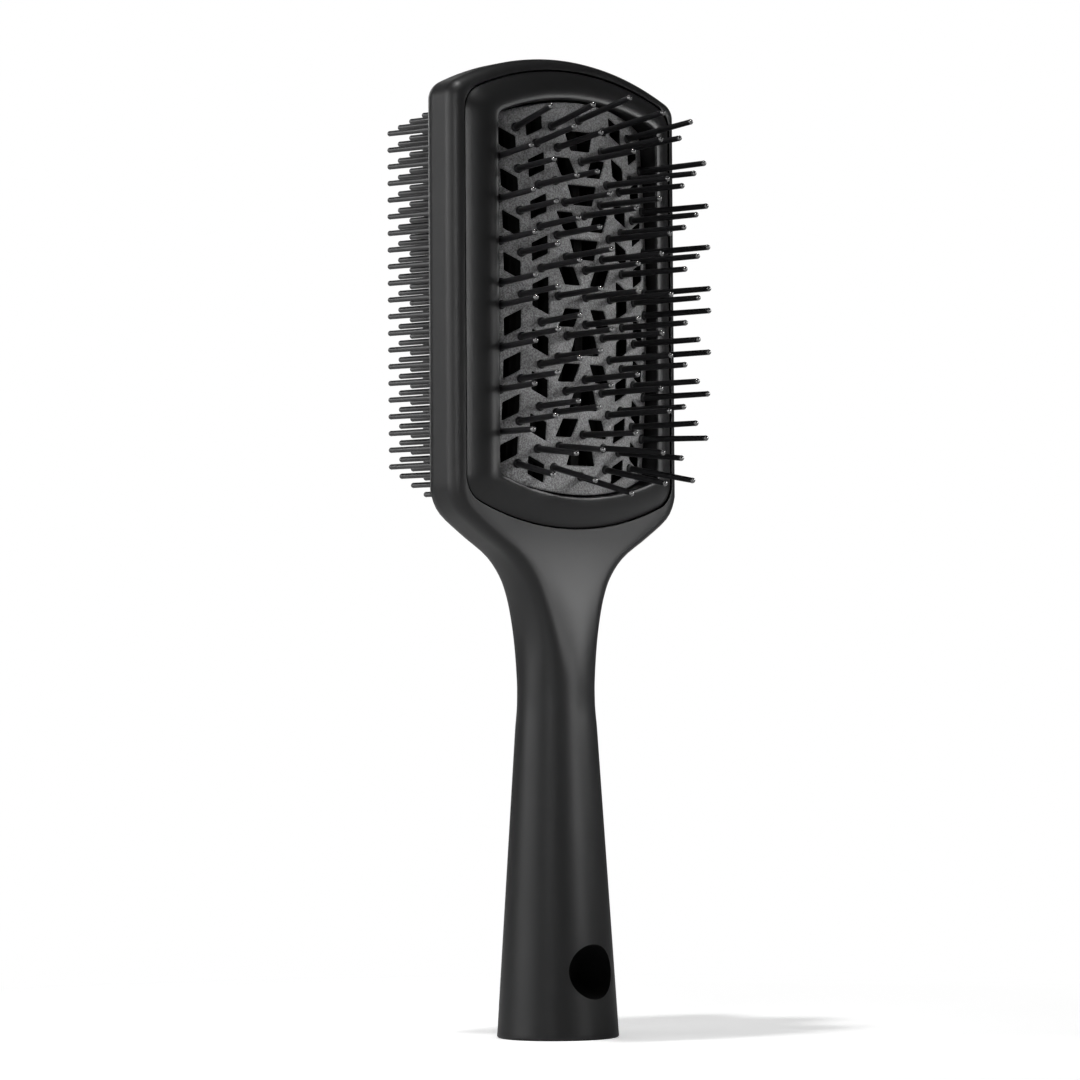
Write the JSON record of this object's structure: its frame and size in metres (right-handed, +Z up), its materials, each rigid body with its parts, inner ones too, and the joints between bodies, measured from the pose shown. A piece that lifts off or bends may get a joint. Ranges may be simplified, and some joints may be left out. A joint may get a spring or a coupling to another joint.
{
  "type": "hairbrush",
  "caption": "Upright two-sided hairbrush: vented front plate with long flexible pins, dense rear pin pad, and a tapered handle with a hang hole and flat foot.",
  "frame": {"origin": "Centre of the handle's flat foot, which is the surface that the brush stands on.", "axes": "+Z up along the handle to the head, -Y out of the vented front face, +Y out of the rear pin pad, +X to the right seen from the front."},
  "size_m": [0.0744, 0.0667, 0.2486],
  "materials": {
    "soft_touch_body": "soft-touch matt black",
    "satin_bezel": "soft-touch matt black, slightly smoother than the body",
    "grained_plate": "fine grained black",
    "pin_nylon": "satin black nylon",
    "pin_pad": "matt black rubber with satin pins"
  },
  "bodies": {
    "root": {"body_frame": "soft_touch_body", "front_bezel": "satin_bezel", "rear_bezel": "satin_bezel", "front_vent_plate": "grained_plate", "front_pin_rib_1": "pin_nylon", "front_pin_rib_2": "pin_nylon", "front_pin_rib_3": "pin_nylon", "front_pin_rib_4": "pin_nylon", "front_pin_rib_5": "pin_nylon", "front_pin_rib_6": "pin_nylon", "front_pin_rib_7": "pin_nylon", "front_pin_rib_8": "pin_nylon", "front_pin_rib_9": "pin_nylon", "rear_pin_strip_01": "pin_pad", "rear_pin_strip_02": "pin_pad", "rear_pin_strip_03": "pin_pad", "rear_pin_strip_04": "pin_pad", "rear_pin_strip_05": "pin_pad", "rear_pin_strip_06": "pin_pad", "rear_pin_strip_07": "pin_pad", "rear_pin_strip_08": "pin_pad", "rear_pin_strip_09": "pin_pad", "rear_pin_strip_10": "pin_pad", "rear_pin_strip_11": "pin_pad", "rear_pin_strip_12": "pin_pad", "rear_pin_strip_13": "pin_pad"}
  },
  "joints": []
}
